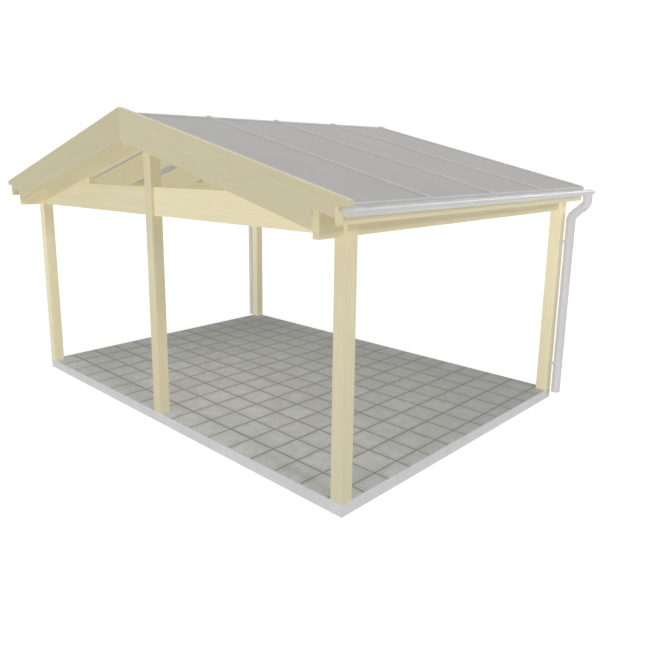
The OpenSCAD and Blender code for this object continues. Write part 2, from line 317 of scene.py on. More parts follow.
def concrete():
    """The cast slab: faint clouds, streaks down its sides, fine grit and scattered pores."""
    m = Look("slab_concrete")
    big = m.noise(m.coords, scale=2.2)
    small = m.noise(m.coords, scale=55, detail=5, rough=0.65)
    pores = m.voronoi(m.coords, scale=150)
    some = m.noise(m.coords, scale=14, detail=2)
    streak = m.noise(m.mapped(scale=(9, 9, 1.2)), scale=2.0, rough=0.6)
    base = m.between(big, srgb(205, 204, 206), srgb(215, 214, 216))
    base = m.stain(base, streak, [(0.4, 0.22), (0.65, 0.0)], (192, 191, 190))
    base = m.stain(base, small, [(0.35, 0.3), (0.6, 0.0)], (184, 183, 180))
    solid = m.math("MAXIMUM", m.ramp(pores, [(0.04, 0.0), (0.2, 1.0)]),
                   m.ramp(some, [(0.5, 1.0), (0.6, 0.0)]))
    base = m.mix(solid, srgb(160, 159, 156), base)
    raised = m.blend(small, 0.4, solid, 0.6)
    rough = m.between(small, 0.78, 0.92)
    return m.finish(base, rough, raised, depth=0.0015, strength=0.5, specular=0.3)


def paving():
    """Cast paving squares: each its own tone, clouded and gritty, darker beside its joints, and
    with painted shade towards the back and the sides.
    """
    m = Look("paver_concrete")
    xyz = m.split(m.coords)
    square = m.node("CombineXYZ", {})
    rims, places = [], []
    for axis, (start, step) in enumerate(((JOINT_X, STEP_X), (JOINT_Y, STEP_Y))):
        count = m.math("DIVIDE", m.math("SUBTRACT", xyz[axis], start), step)
        m.feed(square.inputs[axis], m.math("FLOOR", count))
        rims.append(m.math("MULTIPLY", m.math("PINGPONG", count, 0.5), step))
        out = m.math("SUBTRACT", xyz[axis], TILE_LO[axis])
        places.append(m.math("DIVIDE", out, TILE_HI[axis] - TILE_LO[axis]))
    across, back = places
    square_tone, square_shift = m.chance({"Vector": square.outputs[0]}, "2D")
    own = m.moved(m.coords, square_shift, reach=7)
    cloud = m.noise(own, scale=9, detail=5, rough=0.62)
    blot = m.noise(own, scale=30, rough=0.7)
    grit = m.noise(m.coords, scale=230, rough=0.7)
    chips = m.voronoi(m.coords, scale=330)
    base = m.ramp(square_tone, [(0.0, srgb(196, 198, 197)), (0.5, srgb(202, 204, 204)),
                                (1.0, srgb(208, 210, 210))])
    base = m.stain(base, cloud, [(0.38, 0.4), (0.6, 0.0)], (180, 180, 174))
    base = m.stain(base, cloud, [(0.52, 0.0), (0.72, 0.35)], (214, 213, 206))
    base = m.stain(base, blot, [(0.3, 0.3), (0.5, 0.0)], (160, 160, 153))
    base = m.stain(base, grit, [(0.3, 0.4), (0.52, 0.0)], (134, 134, 128))
    base = m.stain(base, chips, [(0.1, 0.35), (0.28, 0.0)], (222, 221, 212))
    # these places are metres from the middle of the nearest joint
    near_joint = m.ramp(m.math("MINIMUM", *rims), [(0.006, 0.4), (0.016, 0.2), (0.06, 0.0)])
    # the squares darker beside their joints
    near_joint_dark = m.math("MULTIPLY", near_joint, m.between(blot, 1.0, 0.6))
    base = m.mix(near_joint_dark, base, srgb(128, 128, 122))
    # painted shade under the roof: darker towards the back and the sides, from 0 to 1 over the
    # whole floor
    base = m.stain(base, back, [(0.25, 0.0), (0.6, 0.17), (0.9, 0.38)], PAVING_SHADE)
    side_shade_stops = [(0.0, 0.18), (0.5, 0.0), (0.75, 0.0), (1.0, 0.16)]
    base = m.stain(base, across, side_shade_stops, PAVING_SHADE)
    raised = m.blend(blot, 0.35, grit, 0.65)
    rough = m.between(grit, 0.82, 0.95)
    return m.finish(base, rough, raised, depth=0.0022, strength=0.6, specular=0.25)


def sand():
    """The sand in the joints."""
    m = Look("joint_sand")
    grain = m.noise(m.coords, scale=420, detail=3, rough=0.7)
    patch = m.noise(m.coords, scale=12, detail=3)
    base = m.between(grain, srgb(116, 116, 112), srgb(144, 143, 138))
    base = m.mix(m.between(patch, 0.4, 0.0), base, srgb(112, 113, 107))
    rough = m.between(grain, 0.9, 0.98)
    return m.finish(base, rough, grain, depth=0.0015, strength=0.8, specular=0.2)


def sheet():
    """Opal multiwall sheet: a satin skin over ribs that run down the slope."""
    m = Look("roof_sheet")
    ribs = m.math("PINGPONG", m.math("MULTIPLY", m.split(m.coords)[1], 1 / RIB_STEP), 0.5)
    cloud = m.noise(m.coords, scale=1.1, detail=3)
    dust = m.noise(m.mapped(scale=(0.5, 5, 0.5)), scale=3.0, rough=0.6)
    fine = m.noise(m.mapped(scale=(0.4, 1, 0.4)), scale=60, detail=3)
    base = m.between(cloud, srgb(168, 167, 166), srgb(173, 172, 170))
    base = m.stain(base, dust, [(0.45, 0.0), (0.75, 0.35)], (163, 162, 159))
    base = m.stain(base, ribs, [(0.0, 0.25), (0.07, 0.0)], (157, 156, 158))
    raised = m.math("ADD", m.ramp(ribs, [(0.0, 0.0), (0.12, 1.0)]),
                    m.math("MULTIPLY", fine, 0.4))
    rough = m.between(fine, 0.5, 0.62)
    return m.finish(base, rough, raised, depth=0.0005, strength=0.35, specular=0.25)


def aluminium(name, low, high):
    """Painted aluminium: clouded between two tones, drawn along its length, a little spotted."""
    m = Look(name)
    drawn = m.noise(m.mapped(scale=(1, 40, 1)), scale=30, detail=3)
    cloud = m.noise(m.coords, scale=3.0, detail=3)
    spots = m.voronoi(m.coords, scale=70)
    base = m.between(cloud, srgb(*low), srgb(*high))
    base = m.stain(base, spots, [(0.02, 0.25), (0.1, 0.0)], off(low, -22, -22, -22))
    rough = m.between(drawn, 0.34, 0.48)
    return m.finish(base, rough, drawn, depth=0.0003, strength=0.3)


def coated_metal(name, level, smooth, dull):
    """White coated steel of about one grey level, with weather streaks and a fine orange peel."""
    m = Look(name)
    grey = (level, level, level)
    cloud = m.noise(m.coords, scale=2.2, detail=3)
    peel = m.noise(m.coords, scale=190, detail=2)
    runs = m.noise(m.mapped(scale=(14, 14, 0.8)), scale=2.0, rough=0.6)
    base = m.between(cloud, srgb(*off(grey, -3, -4, -3)), srgb(*off(grey, 4, 3, 4)))
    base = m.stain(base, runs, [(0.5, 0.0), (0.75, 0.4)], off(grey, -13, -13, -14))
    rough = m.between(peel, smooth, dull)
    return m.finish(base, rough, peel, depth=0.0003, strength=0.25)


def rubber():
    """The black lips under the bars' wings."""
    m = Look("black_gasket")
    fine = m.noise(m.coords, scale=260, detail=3)
    base = m.between(fine, srgb(58, 58, 58), srgb(74, 74, 73))
    rough = m.between(fine, 0.6, 0.75)
    return m.finish(base, rough, fine, depth=0.0003, strength=0.4)


def steel():
    """Bright stainless screws."""
    m = Look("screw_steel")
    fine = m.noise(m.coords, scale=300, detail=3)
    base = m.between(fine, srgb(176, 176, 174), srgb(200, 200, 198))
    rough = m.between(fine, 0.28, 0.42)
    return m.finish(base, rough, fine, depth=0.0002, strength=0.3, metallic=0.85)


MAT = {
    # the cream paint in lit and shaded copies: ties, posts and the left eave beam painted light,
    # rafters and bargeboards painted shade
    "x": timber("timber_across", "x", TIE_BOARD, BEAM_FOOT, CREAM_MOST_PAINTED_LIGHT),
    "x_left": timber("timber_across_left", "x", TIE_BOARD, BEAM_FOOT, CREAM_MORE_PAINTED_LIGHT),
    "y": timber("timber_back", "y", EAVE_BOARD, BEAM_FOOT),
    "y_pale": timber("timber_back_pale", "y", EAVE_BOARD, BEAM_FOOT, CREAM_MOST_PAINTED_LIGHT),
    "z": timber("timber_up", "z", POST_BOARD, tone=CREAM_SOME_PAINTED_LIGHT),
    "z_pale": timber("timber_up_pale", "z", POST_BOARD, tone=CREAM_MOST_PAINTED_LIGHT),
    "right": timber("timber_right_slope", -PITCH, tone=CREAM_MORE_PAINTED_SHADE),
    "left": timber("timber_left_slope", PITCH, tone=SHADED),
    "right_inner": timber("timber_right_inner", -PITCH, tone=CREAM_SOME_PAINTED_SHADE),
    "left_inner": timber("timber_left_inner", PITCH, tone=CREAM_SOME_PAINTED_SHADE),
    "slab": concrete(),
    "paving": paving(),
    "sand": sand(),
    "panel": sheet(),
    "trim": aluminium("trim_aluminium", (168, 167, 166), (173, 172, 170)),
    "verge": aluminium("painted_flashing", (198, 191, 160), (205, 198, 167)),
    "cap": aluminium("cap_aluminium", (178, 177, 175), (184, 183, 181)),
    "edge": aluminium("edge_aluminium", (181, 181, 180), (188, 188, 187)),
    "metal": coated_metal("coated_metal", 203, smooth=0.3, dull=0.4),
    "gutter": coated_metal("gutter_coating", 199, smooth=0.32, dull=0.4),
    "rubber": rubber(),
    "steel": steel(),
}


# ---------------------------------------------------------------- CAD nodes and their finishes

ARRIS_ANGLE = math.radians(30)
ARRIS_SLAB = ARRIS_POST = 0.004
ARRIS_BEAM = 0.003
ARRIS_SHEET = 0.001
# these two posts get less painted light than the others
POSTS_LESS_PAINTED_LIGHT = ("front_centre_post", "front_right_post")


def paint(node, mat):
    o = NODES[node]
    o.data.materials.clear()
    o.data.materials.append(MAT[mat])


def arris(node, width, segments=2):
    """Takes the sharp edge off a CAD node, without changing its mesh."""
    b = NODES[node].modifiers.new("arris", "BEVEL")
    b.width = width
    b.segments = segments
    b.limit_method = "ANGLE"
    b.angle_limit = ARRIS_ANGLE
    b.harden_normals = False


for node in NODES:
    if node == "slab":
        paint(node, "slab")
        arris(node, ARRIS_SLAB)
    elif node == "floor_tiles":
        paint(node, "paving")
    elif "gutter" in node or "downpipe" in node:
        paint(node, "metal")
    elif "bars" in node or "cap" in node:
        paint(node, "trim")
    elif "panel" in node:
        paint(node, "panel")
        arris(node, ARRIS_SHEET, segments=1)
    elif "post" in node:
        # painted light on the posts, most on those not named above
        paint(node, "z" if node in POSTS_LESS_PAINTED_LIGHT else "z_pale")
        arris(node, ARRIS_POST, segments=3)
    elif "tie_beam" in node or "wedge" in node:
        # painted light on the tie beams, a little less on the left ones
        paint(node, "x_left" if "left" in node else "x")
        arris(node, ARRIS_BEAM)
    elif "eave_beam" in node or "fascia" in node or node == "ridge_beam":
        # painted light on the left eave beam
        paint(node, "y_pale" if node == "left_eave_beam" else "y")
        arris(node, ARRIS_BEAM)
    else:
        # rafters and bargeboards, all in painted shade, the left bargeboards most
        paint(node, node.split("_")[0] + ("_inner" if "rafter" in node else ""))
        arris(node, ARRIS_BEAM)


# ---------------------------------------------------------------- mesh tools

# screws: radius of the head, its height, radius of the washer
BAR_SCREW = (0.004, 0.003, 0.0058)
VERGE_SCREW = (0.0045, 0.003, 0.0065)
HANGER_SCREW = (0.0045, 0.003, 0.007)
LUG_BOLT = (0.0036, 0.003, 0.0052)
PLATE_SCREW = (0.0035, 0.0025, 0.005)
SCREW_SIDES = 12
SOCKET_SIDES = 48


def piece(name, bm, mat, slot, *nodes, smooth=None):
    """A finished mesh as a piece of the object; it stands for the CAD nodes named last."""
    bmesh.ops.recalc_face_normals(bm, faces=bm.faces)
    mesh = bpy.data.meshes.new(name)
    bm.to_mesh(mesh)
    bm.free()
    mesh.materials.append(MAT[mat])
    o = bpy.data.objects.new(name, mesh)
    scene.collection.objects.link(o)
    if smooth is not None:
        mesh.shade_smooth()
        mesh.set_sharp_from_angle(angle=math.radians(smooth))
    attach(o, "root")
    if nodes:
        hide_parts(*nodes)


def loft(bm, rings, caps=True):
    """Joins closed rings of points, each as long as the next, into a skin."""
    rows = [[bm.verts.new(p) for p in ring] for ring in rings]
    n = len(rows[0])
    for a, b in zip(rows, rows[1:]):
        for i in range(n):
            j = (i + 1) % n
            bm.faces.new((a[i], a[j], b[j], b[i]))
    if caps:
        bm.faces.new(rows[0][::-1])
        bm.faces.new(rows[-1])


def mirrored(half):
    """An outline from its right half, which runs from its bottom corner up to its top."""
    u, h = half[0]
    return [(-u, h)] + half + [(-u, h) for u, h in half[:0:-1]]


def rounded(outline, r, steps=3):
    """An outline with each corner rounded to radius r, or to what its sides allow."""
    out = []
    n = len(outline)
    for i in range(n):
        p = Vector(outline[i])
        a = Vector(outline[i - 1]) - p
        b = Vector(outline[(i + 1) % n]) - p
        cut = min(r, a.length * 0.45, b.length * 0.45)
        a, b = p + a.normalized() * cut, p + b.normalized() * cut
        for k in range(steps + 1):
            t = k / steps
            out.append(tuple(a * (1 - t) ** 2 + p * 2 * t * (1 - t) + b * t ** 2))
    return out


def turned(bm, at, way, profile, sides, closed=False):
    """A profile of (radius, place along `way`) turned about the axis through `at`."""
    way = way.normalized()
    a = way.orthogonal().normalized()
    b = way.cross(a)
    turns = [2 * math.pi * k / sides for k in range(sides)]
    rings = [[at + way * t + (a * math.cos(q) + b * math.sin(q)) * r for q in turns]
             for r, t in profile]
    loft(bm, rings + rings[:1] if closed else rings, caps=not closed)


def screw(bm, at, up, size):
    """A pan head screw on a thin washer, with a hole in its head."""
    r, h, washer = size
    turned(bm, at, up, [(washer, -0.0004), (washer, 0.0008), (r, 0.001), (r, h * 0.55),
                        (r * 0.75, h * 0.9), (r * 0.3, h), (r * 0.28, h * 0.55)], SCREW_SIDES)


# ---------------------------------------------------------------- paving

PAVER_STEP = 0.05           # about the distance between the points along a paver's edge
PAVER_WEAR = 0.0006         # how far its worn edge wanders
PAVER_EDGE = ((0.0, 0.0034), (0.0009, 0.0012), (0.003, 0.0))    # inset, depth under the top
PAVER_LIFT = 0.001          # of its underside over the floor of the slab's recess
PAVER_UNEVEN = 0.0007       # how far one lies under the highest
PAVER_LEAST = 0.02          # the narrowest strip left at the rim
RIM_GAP = 0.0012            # beside the slab's rim
HALF_JOINTS = (0.0052, 0.0042)      # of the joints with even and with odd numbers
SAND_DOWN = 0.0020          # how far the sand in the joints lies under the top


def paver(bm, x0, x1, y0, y1, z_low, z_top):
    """A paving square with a worn, slightly uneven bevelled edge."""
    steps_x = max(2, round((x1 - x0) / PAVER_STEP))
    steps_y = max(2, round((y1 - y0) / PAVER_STEP))
    path = [(k / steps_x, 0.0) for k in range(steps_x)]
    path += [(1.0, k / steps_y) for k in range(steps_y)]
    path += [(1 - k / steps_x, 1.0) for k in range(steps_x)]
    path += [(0.0, 1 - k / steps_y) for k in range(steps_y)]
    worn = [rng.uniform(-PAVER_WEAR, PAVER_WEAR) for _ in path]
    rings = []
    for inset, z in [(0.0, z_low)] + [(inset, z_top - down) for inset, down in PAVER_EDGE]:
        ring = []
        for (u, v), w in zip(path, worn):
            pull = inset + (abs(w) if inset else max(w, 0) * 0.5)
            x = x0 + (x1 - x0) * u + pull * ((u == 0) - (u == 1))
            y = y0 + (y1 - y0) * v + pull * ((v == 0) - (v == 1))
            ring.append((x, y, z))
        rings.append(ring)
    loft(bm, rings)


def joints(axis, start, step):
    """Places where the pavers are parted, each with its joint's number, None at a rim."""
    lo, hi = TILE_LO[axis], TILE_HI[axis]
    k = math.ceil((lo + PAVER_LEAST - start) / step)
    found = [(lo, None)]
    while start + k * step < hi - PAVER_LEAST:
        found.append((start + k * step, k))
        k += 1
    return found + [(hi, None)]


def gap(k):
    """Half the width of joint k, or the gap at a rim."""
    return RIM_GAP if k is None else HALF_JOINTS[k % 2]


xs = joints(0, JOINT_X, STEP_X)
ys = joints(1, JOINT_Y, STEP_Y)
bm = bmesh.new()
for (xa, ka), (xb, kb) in zip(xs, xs[1:]):
    for (ya, la), (yb, lb) in zip(ys, ys[1:]):
        top = TILE_HI.z - rng.uniform(0, PAVER_UNEVEN)
        paver(bm, xa + gap(ka), xb - gap(kb), ya + gap(la), yb - gap(lb),
              TILE_LO.z + PAVER_LIFT, top)
piece("pavers", bm, "paving", "paving", "floor_tiles")

bm = bmesh.new()
loft(bm, [[(TILE_LO.x, TILE_LO.y, z), (TILE_HI.x, TILE_LO.y, z), (TILE_HI.x, TILE_HI.y, z),
           (TILE_LO.x, TILE_HI.y, z)] for z in (TILE_LO.z, TILE_HI.z - SAND_DOWN)])
piece("joint_sand", bm, "sand", "paving")


# ---------------------------------------------------------------- glazing bars, ridge and verges

ROOF_FRONT = BARGE_HI.y + SEAT_GAP
BARS = spaced(ROOF_FRONT + BAR_W / 2, REAR_HI.y - ROOF_FRONT - BAR_W, BAR_COUNT)
BAR_TOP = SHEET + BAR_H
BAR_END = EDGE - 0.02       # where the bars stop and their moulded ends start

# outlines across a bar: out from its middle, and up from the sheets' upper face
WING = mirrored([(0.0300, 0.0003), (0.0300, 0.0030), (0.0120, 0.0046), (0.0120, 0.0060)])
COVER = rounded(mirrored([(0.0112, 0.0060), (0.0112, 0.0140), (0.0060, 0.0158)]), r=0.002)
END = rounded(mirrored([(0.0299, 0.0), (0.0299, 0.0036), (0.0126, 0.0054), (0.0126, 0.0136),
                        (0.0070, 0.0153)]), r=0.002)
SADDLE = rounded(mirrored([(0.0298, 0.0), (0.0298, 0.0130), (0.0215, 0.0195)]), r=0.004)
GASKETS = [rounded([(s * 0.0285, 0.0001), (s * 0.0299, 0.0001), (s * 0.0299, 0.0016),
                    (s * 0.0285, 0.0016)], r=0.0004, steps=2) for s in (-1, 1)]
# the same, but up from their underside
END_PLATE = rounded(mirrored([(0.0302, -0.0020), (0.0302, SHEET + 0.0040),
                              (0.0130, SHEET + 0.0080)]), r=0.002)

END_TAPER = ((-0.0198, 1.0), (-0.012, 0.92), (0.0, 0.45))       # from EDGE, share of the height
END_LIFT = 0.0004           # of a moulded end over the sheet
PLATE_AT = (0.0002, 0.0020)                                     # from EDGE
GASKET_FROM, GASKET_SHORT = 0.05, 0.004                         # from the ridge, from EDGE
BAR_SCREWS = 9
BAR_SCREW_FROM, BAR_SCREW_SPAN = 0.12, EDGE - 0.2               # first one, first to last
BAR_SCREW_OUT, BAR_SCREW_UP = 0.021, 0.0040                     # from the bar's middle, the sheet
SADDLE_TAPER = ((-0.058, 0.3), (-0.052, 0.9), (-0.03, 1.0), (0.0, 1.0), (0.03, 1.0),
                (0.052, 0.9), (0.058, 0.3))                     # x, share of the height
SADDLE_LIFT = 0.0040                                            # over the sheets


def down_slope(bm, side, outline, y, stations):
    """An outline across a bar at each station down the slope, as (x, lift, share of the height)."""
    loft(bm, [[Vector((side * x, y + u, over_sheet(abs(x), lift + h * keep))) for u, h in outline]
              for x, lift, keep in stations])


def whole(x0, x1):
    """Stations of an outline that stays the same from x0 to x1, on the sheets."""
    return ((x0, SHEET, 1), (x1, SHEET, 1))


for name, side in SIDES:
    wings, covers, ends, gaskets, screws = (bmesh.new() for _ in range(5))
    for y in BARS:
        down_slope(wings, side, WING, y, whole(0.0, BAR_END))
        down_slope(covers, side, COVER, y, whole(0.0, BAR_END))
        down_slope(ends, side, END, y,
                   [(EDGE + x, SHEET + END_LIFT, keep) for x, keep in END_TAPER])
        down_slope(ends, side, END_PLATE, y, [(EDGE + x, 0, 1) for x in PLATE_AT])
        for gasket in GASKETS:
            down_slope(gaskets, side, gasket, y, whole(GASKET_FROM, EDGE - GASKET_SHORT))
        for x in spaced(BAR_SCREW_FROM, BAR_SCREW_SPAN, BAR_SCREWS):
            screw(screws, roof(side, x, y + BAR_SCREW_OUT, SHEET + BAR_SCREW_UP),
                  square_to_roof(side), BAR_SCREW)
    piece(name + "_bar_wings", wings, "trim", "trim", name + "_glazing_bars", smooth=35)
    piece(name + "_bar_covers", covers, "cap", "trim", smooth=35)
    piece(name + "_bar_ends", ends, "edge", "trim", smooth=30)
    piece(name + "_bar_gaskets", gaskets, "rubber", "trim")
    piece(name + "_bar_screws", screws, "steel", "trim", smooth=40)

VERGE_GAUGE = 0.002
WEB_DOWN = 0.0002           # how far the web's top stays under the flange's
VERGE_SCREWS = 8
VERGE_SCREW_IN = 0.2        # from the ridge and from the tail


def verge(bm, side):
    """The sheet over a bargeboard: up behind it, over its top and down its square end.

    Both outlines are (x, z), and the lap of the web over the end bar starts at `foot`."""
    base = BARGE_HI.z
    drop = FASCIA_HI.z
    end = BARGE_HI.x
    tip = end - (base - end * FALL - drop) * FALL
    top = base + VERGE_GAUGE * PLUMB
    outer = end + VERGE_GAUGE * (math.cos(PITCH) + math.sin(PITCH))
    back = ROOF_FRONT + VERGE_GAUGE
    flange = [(0.0, base), (end, base - end * FALL), (tip, drop),
              (tip + VERGE_GAUGE * PLUMB, drop), (outer, top - outer * FALL), (0.0, top)]
    loft(bm, [[(side * x, y, z) for x, z in flange] for y in (BARGE_LO.y, back)])
    foot = over_sheet(0.0, BAR_TOP) + SEAT_GAP
    under = top - WEB_DOWN
    web = [(0.0, foot), (EDGE, foot - EDGE * FALL), (EDGE, under - EDGE * FALL), (0.0, under)]
    loft(bm, [[(side * x, y, z) for x, z in web] for y in (ROOF_FRONT, back)])


for name, side in SIDES:
    bm = bmesh.new()
    verge(bm, side)
    piece(name + "_verge_flashing", bm, "verge", "trim")
    bm = bmesh.new()
    for x in spaced(VERGE_SCREW_IN, BARGE_HI.x - 2 * VERGE_SCREW_IN, VERGE_SCREWS):
        at = Vector((side * x, (BARGE_LO.y + BARGE_HI.y) / 2,
                     BARGE_HI.z + VERGE_GAUGE * PLUMB - x * FALL))
        screw(bm, at, square_to_roof(side), VERGE_SCREW)
    piece(name + "_verge_screws", bm, "steel", "trim", smooth=40)

# the ridge cap between two bars: folded, with hems turned down and a raised crown
CAP_W = CAP_HI.x
CAP_GAP = 0.0005            # beside a bar
CAP_HALF = ((CAP_W, 0.0004), (CAP_W, 0.0085), (CAP_W - 0.0015, 0.0102), (CAP_W * 0.62, 0.0102),
            (CAP_W * 0.56, 0.0122), (0.012, 0.0128), (0.004, 0.0131))
half = [(x, min(over_sheet(x, SHEET + h), CAP_HI.z)) for x, h in CAP_HALF]
outline = half + [(-x, z) for x, z in reversed(half)] + [(0.0, over_sheet(0, SHEET) + 0.0004)]
bm = bmesh.new()
for ya, yb in zip(BARS, BARS[1:]):
    ends = (ya + BAR_W / 2 + CAP_GAP, yb - BAR_W / 2 - CAP_GAP)
    loft(bm, [[(x, y, z) for x, z in outline] for y in ends])
piece("ridge_lengths", bm, "trim", "trim", "ridge_cap", smooth=25)

# a moulded saddle covers each pair of bars where they meet at the ridge, behind the first pair
bm = bmesh.new()
for y in BARS[1:]:
    down_slope(bm, 1, SADDLE, y, [(x, SHEET + SADDLE_LIFT, keep) for x, keep in SADDLE_TAPER])
piece("ridge_saddles", bm, "cap", "trim", smooth=35)

# a closure channel over the cut lower end of each sheet: out from EDGE along the slope, and
# square up from the sheet's underside
CLOSURE = ((-0.022, SHEET + 0.0002), (-0.022, SHEET + 0.0016), (0.0010, SHEET + 0.0016),
           (0.0022, SHEET + 0.0004), (0.0022, -0.0010), (0.0008, -0.0022), (-0.0125, -0.0022),
           (-0.0125, -0.0002), (0.0002, -0.0002), (0.0002, SHEET + 0.0002))
CLOSURE_GAP = 0.001         # beside a bar
for name, side in SIDES:
    bm = bmesh.new()
    for ya, yb in zip(BARS, BARS[1:]):
        ends = (ya + BAR_W / 2 + CLOSURE_GAP, yb - BAR_W / 2 - CLOSURE_GAP)
        loft(bm, [[roof(side, EDGE + u * math.cos(PITCH), y, h) for u, h in CLOSURE]
                  for y in ends])
    piece(name + "_sheet_closures", bm, "edge", "trim", smooth=30)

# a drip sheet from under each eave edge down into the gutter, as (x from EDGE, height): the
# heights of DRIP_LOW are from the gutter's top, the others from the sheets' underside
DRIP_TOP = ((-0.0124, -0.0026), (-0.0002, -0.0026))
DRIP_LOW = ((0.0004, -0.006), (-0.0045, -0.011), (-0.0052, -0.0104), (-0.0006, -0.0057))
DRIP_BACK = ((-0.0012, -0.0036), (-0.0124, -0.0036))
outline = [(EDGE + u, over_sheet(EDGE + u, 0) + v) for u, v in DRIP_TOP]
outline += [(EDGE + u, GUT_HI.z + v) for u, v in DRIP_LOW]
outline += [(EDGE + u, over_sheet(EDGE + u, 0) + v) for u, v in DRIP_BACK]
for name, side in SIDES:
    bm = bmesh.new()
    loft(bm, [[(side * x, y, z) for x, z in outline] for y in (PANEL_LO.y, REAR_HI.y)])
    piece(name + "_drip_edge", bm, "edge", "trim", smooth=30)


# ---------------------------------------------------------------- gutters

GUT_W = GUT_HI.x - GUT_LO.x
GUT_D = GUT_HI.z - GUT_LO.z
GUT_X = (GUT_LO.x + GUT_HI.x) / 2
GUT_R = GUT_W * 0.55        # of the round bottom
GUT_WALL = 0.0016           # thickness of its sheet
GUT_START = BARGE_HI.y + 0.0015         # just behind the bargeboard
BEAD_R = 0.0105             # of the rolled outer edge
BEAD_TURN = math.pi * 1.35
BOTTOM_STEPS, BEAD_STEPS = 18, 12
STOP_END = 0.0018           # thickness of the end plates
STOP_LAP = 0.0008           # how far the trough stays inside them
HANGERS = 7
HANGER_IN = 0.18            # of the first and the last from the ends
HANGER_HALF = 0.0125        # half of a strap's width
# a strap and its screw: out from the gutter's middle, and up from its top
STRAP = ((-GUT_W / 2 + 0.0018, -0.0030), (GUT_W / 2 - 0.014, -0.0105),
         (GUT_W / 2 - 0.014, -0.0125), (-GUT_W / 2 + 0.0018, -0.0052))
STRAP_SCREW = (-GUT_W / 2 + 0.02, -0.0048)


def trough(w, d, r):
    """Half-round bottom between straight walls, from the inner lip down and up to the outer lip."""
    a = math.asin(min(1.0, w / 2 / r))
    turns = (-a + 2 * a * k / BOTTOM_STEPS for k in range(BOTTOM_STEPS + 1))
    bottom = [(r * math.sin(t), -d + r * (1 - math.cos(t))) for t in turns]
    return [(-w / 2, 0.0)] + bottom + [(w / 2, 0.0)]


def bead(r, start, end):
    """The rolled edge at the outer lip, or its inside."""
    turns = (start + (end - start) * k / BEAD_STEPS for k in range(BEAD_STEPS + 1))
    return [(GUT_W / 2 - BEAD_R + r * math.cos(t), -BEAD_R + r * math.sin(t)) for t in turns]


def along_gutter(bm, side, outline, y0, y1):
    """An outline across the gutter, out from its middle and up from its top, from y0 to y1."""
    loft(bm, [[(side * (GUT_X + u), y, GUT_HI.z + v) for u, v in outline] for y in (y0, y1)])


# the outer wall ends in a rolled bead, the inner wall in a flat hem
SKIN = trough(GUT_W, GUT_D, GUT_R)
INSIDE = trough(GUT_W - 2 * GUT_WALL, GUT_D - GUT_WALL, GUT_R - GUT_WALL)
RUN_OUTLINE = (SKIN[:-1] + bead(BEAD_R, 0.0, BEAD_TURN)
               + bead(BEAD_R - GUT_WALL, BEAD_TURN, 0.0) + INSIDE[:-1][::-1])
for name, side in SIDES:
    bm = bmesh.new()
    along_gutter(bm, side, RUN_OUTLINE, GUT_START + STOP_LAP, GUT_HI.y - STOP_LAP)
    piece(name + "_gutter_run", bm, "gutter", "metal", name + "_gutter", smooth=40)
    bm = bmesh.new()
    along_gutter(bm, side, SKIN, GUT_START, GUT_START + STOP_END)
    along_gutter(bm, side, SKIN, GUT_HI.y, GUT_HI.y - STOP_END)
    piece(name + "_gutter_ends", bm, "gutter", "metal", smooth=30)
    # hangers: a strap over the trough, hooked into the bead and screwed beside the fascia
    bm = bmesh.new()
    for y in spaced(GUT_LO.y + HANGER_IN, GUT_HI.y - GUT_LO.y - 2 * HANGER_IN, HANGERS):
        along_gutter(bm, side, STRAP, y - HANGER_HALF, y + HANGER_HALF)
        at = Vector((side * (GUT_X + STRAP_SCREW[0]), y, GUT_HI.z + STRAP_SCREW[1]))
        screw(bm, at, Vector((0, 0, 1)), HANGER_SCREW)
    piece(name + "_gutter_hangers", bm, "metal", "metal", smooth=30)


# ---------------------------------------------------------------- downpipes

# the line of the pipe, as in part.scad: out of the gutter, a swan neck and straight down
PIPE_OFF = 0.040            # between the post and the straight pipe
NECK_HEAD = 0.058           # from the gutter down to the upper bend
BEND_R = 0.8 * 2 * PIPE_R   # radius of the bends, 0.8 of the pipe's diameter
BEND_A = math.radians(50)
PIPE_Y = (POST_LO.y + POST_HI.y) / 2
PIPE_X = POST_HI.x + PIPE_OFF + PIPE_R
OUT_X, OUT_Y = PIPE_HI.x - PIPE_R, PIPE_HI.y - PIPE_R
BEND_TOP = GUT_LO.z - SEAT_GAP - NECK_HEAD
SWING = math.hypot(OUT_X - PIPE_X, OUT_Y - PIPE_Y)
BEND_OUT = BEND_R * (1 - math.cos(BEND_A))
BEND_DOWN = BEND_R * math.sin(BEND_A)
RUN = (SWING - 2 * BEND_OUT) / math.sin(BEND_A)
BEND_LOW = BEND_TOP - 2 * BEND_DOWN - RUN * math.cos(BEND_A)
TURN = math.atan2(OUT_Y - PIPE_Y, OUT_X - PIPE_X)

SOCKET_L = 0.034
SOCKET_LIP = 0.0032         # how far its rolled mouth stands out
SOCKET_IN = PIPE_R + 0.0004
# from its lower end up: radius, place along it
SOCKET = ((SOCKET_IN, 0.0), (PIPE_R + SOCKET_LIP * 0.6, 0.0004),
          (PIPE_R + SOCKET_LIP * 0.6, SOCKET_L * 0.72), (PIPE_R + SOCKET_LIP, SOCKET_L * 0.8),
          (PIPE_R + SOCKET_LIP, SOCKET_L * 0.96), (PIPE_R + SOCKET_LIP * 0.5, SOCKET_L),
          (SOCKET_IN, SOCKET_L))
SOCKET_BELOW = 0.02         # middle of the lowest socket under the bend
SOCKET_ALONG = 0.014        # middles of the others, in from the ends of the sloping run

